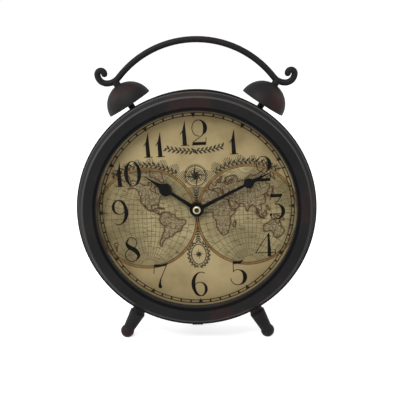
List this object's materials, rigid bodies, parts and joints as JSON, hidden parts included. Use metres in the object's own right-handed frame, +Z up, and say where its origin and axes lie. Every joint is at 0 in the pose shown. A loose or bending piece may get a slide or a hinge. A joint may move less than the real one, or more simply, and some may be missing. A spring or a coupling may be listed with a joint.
{
  "type": "world time clock",
  "caption": "Round table clock with a stepped metal bezel, map dial, spade hands, bells under a scrolled carrying handle, splayed ball-tipped feet and a battery movement behind.",
  "frame": {"origin": "on the table top, midway across the clock and midway through its depth", "axes": "+Z up, +Y towards the back of the clock, +X to the right as seen from the front"},
  "size_m": [0.2064, 0.0588, 0.2645],
  "materials": {
    "bronze_case": "semi-gloss oil-rubbed bronze paint",
    "case_black": "satin black paint",
    "hand_black": "matt black",
    "brass": "polished",
    "clear_glass": "clear",
    "dial_print": "printed, sepia",
    "dial_backing": "plain board",
    "black_plastic": "moulded",
    "pale_plastic": "moulded",
    "rubber": "matt",
    "zinc_steel": "zinc plated",
    "spring_steel": "bright",
    "copper_winding": "enamelled wire",
    "circuit_green": "coated board",
    "crystal_can": "bright",
    "cell_jacket": "printed film"
  },
  "bodies": {
    "case": {"bezel": "bronze_case", "glass": "clear_glass", "glass_gasket": "rubber", "dial_spacer": "black_plastic", "dial_face": "dial_print", "dial_board": "dial_backing", "case_drum": "case_black", "bezel_screws": "zinc_steel", "rear_cover": "case_black", "rear_cover_screws": "zinc_steel", "foot_left": "bronze_case", "foot_right": "bronze_case", "foot_screws": "zinc_steel", "foot_washers": "zinc_steel", "rear_foot": "case_black", "rear_foot_boot": "rubber", "rear_foot_screws": "zinc_steel", "bell_left": "bronze_case", "bell_right": "bronze_case", "bell_sleeve_left": "bronze_case", "bell_sleeve_right": "bronze_case", "bell_studs": "bronze_case", "bell_collars": "bronze_case", "stud_washers": "zinc_steel", "stud_nuts": "zinc_steel", "handle": "bronze_case", "movement_gasket": "rubber", "movement_front_shell": "black_plastic", "movement_rear_shell": "black_plastic", "middle_plate": "pale_plastic", "threaded_bushing": "brass", "dial_washer": "brass", "dial_nut": "brass", "circuit_board": "circuit_green", "quartz_crystal": "crystal_can", "stator": "spring_steel", "coil": "copper_winding", "positive_contact": "spring_steel", "negative_contact": "spring_steel"},
    "minute_motion": {"minute_arbor": "brass", "minute_hand": "hand_black", "hand_nut": "brass"},
    "hour_motion": {"hour_wheel": "pale_plastic", "hour_hand": "hand_black"},
    "intermediate_wheel": {"minute_wheel": "pale_plastic"},
    "setting": {"set_arbor": "pale_plastic", "set_knob": "black_plastic"},
    "centre": {"centre_wheel": "pale_plastic"},
    "third": {"third_wheel": "pale_plastic"},
    "seconds": {"seconds_wheel": "pale_plastic"},
    "fifth": {"fifth_wheel": "pale_plastic"},
    "motor_rotor": {"rotor": "spring_steel"},
    "cell": {"battery": "cell_jacket"}
  },
  "joints": [
    {"name": "minute_hand_turn", "type": "hinge", "parent": "case", "child": "minute_motion", "pos_m": [0, -0.0129, 0.11897], "axis": [0, 0.9986, -0.0523], "continuous": true},
    {"name": "hour_hand_turn", "type": "hinge", "parent": "case", "child": "hour_motion", "pos_m": [0, -0.0129, 0.11897], "axis": [0, 0.9986, -0.0523], "continuous": true},
    {"name": "intermediate_wheel_turn", "type": "hinge", "parent": "case", "child": "intermediate_wheel", "pos_m": [-0.00566, -0.00591, 0.12426], "axis": [0, 0.9986, -0.0523], "continuous": true},
    {"name": "setting_knob_turn", "type": "hinge", "parent": "case", "child": "setting", "pos_m": [-0.01406, 0.00657, 0.12361], "axis": [0, 0.9986, -0.0523], "continuous": true},
    {"name": "seconds_wheel_turn", "type": "hinge", "parent": "case", "child": "seconds", "pos_m": [0.01145, -0.00043, 0.12568], "axis": [0, 0.9986, -0.0523], "continuous": true},
    {"name": "third_wheel_turn", "type": "hinge", "parent": "case", "child": "third", "pos_m": [0.00425, -0.00183, 0.12576], "axis": [0, 0.9986, -0.0523], "continuous": true},
    {"name": "centre_wheel_turn", "type": "hinge", "parent": "case", "child": "centre", "pos_m": [0, -0.0129, 0.11897], "axis": [0, 0.9986, -0.0523], "continuous": true},
    {"name": "fifth_wheel_turn", "type": "hinge", "parent": "case", "child": "fifth", "pos_m": [0.01415, 0.00121, 0.13028], "axis": [0, 0.9986, -0.0523], "continuous": true},
    {"name": "rotor_turn", "type": "hinge", "parent": "case", "child": "motor_rotor", "pos_m": [0.01779, 0.00133, 0.13238], "axis": [0, 0.9986, -0.0523], "continuous": true},
    {"name": "cell_slide", "type": "slide", "parent": "case", "child": "cell", "axis": [0, 0.9986, -0.0523], "range_m": [0, 0.04]}
  ],
  "couplings": [
    {"joint": "hour_hand_turn", "follows": "minute_hand_turn", "ratio": 0.083333},
    {"joint": "intermediate_wheel_turn", "follows": "minute_hand_turn", "ratio": -0.33333},
    {"joint": "setting_knob_turn", "follows": "minute_hand_turn", "ratio": 0.83333},
    {"joint": "third_wheel_turn", "follows": "seconds_wheel_turn", "ratio": -0.125},
    {"joint": "centre_wheel_turn", "follows": "seconds_wheel_turn", "ratio": 0.016667},
    {"joint": "fifth_wheel_turn", "follows": "seconds_wheel_turn", "ratio": -5},
    {"joint": "rotor_turn", "follows": "seconds_wheel_turn", "ratio": 30}
  ]
}
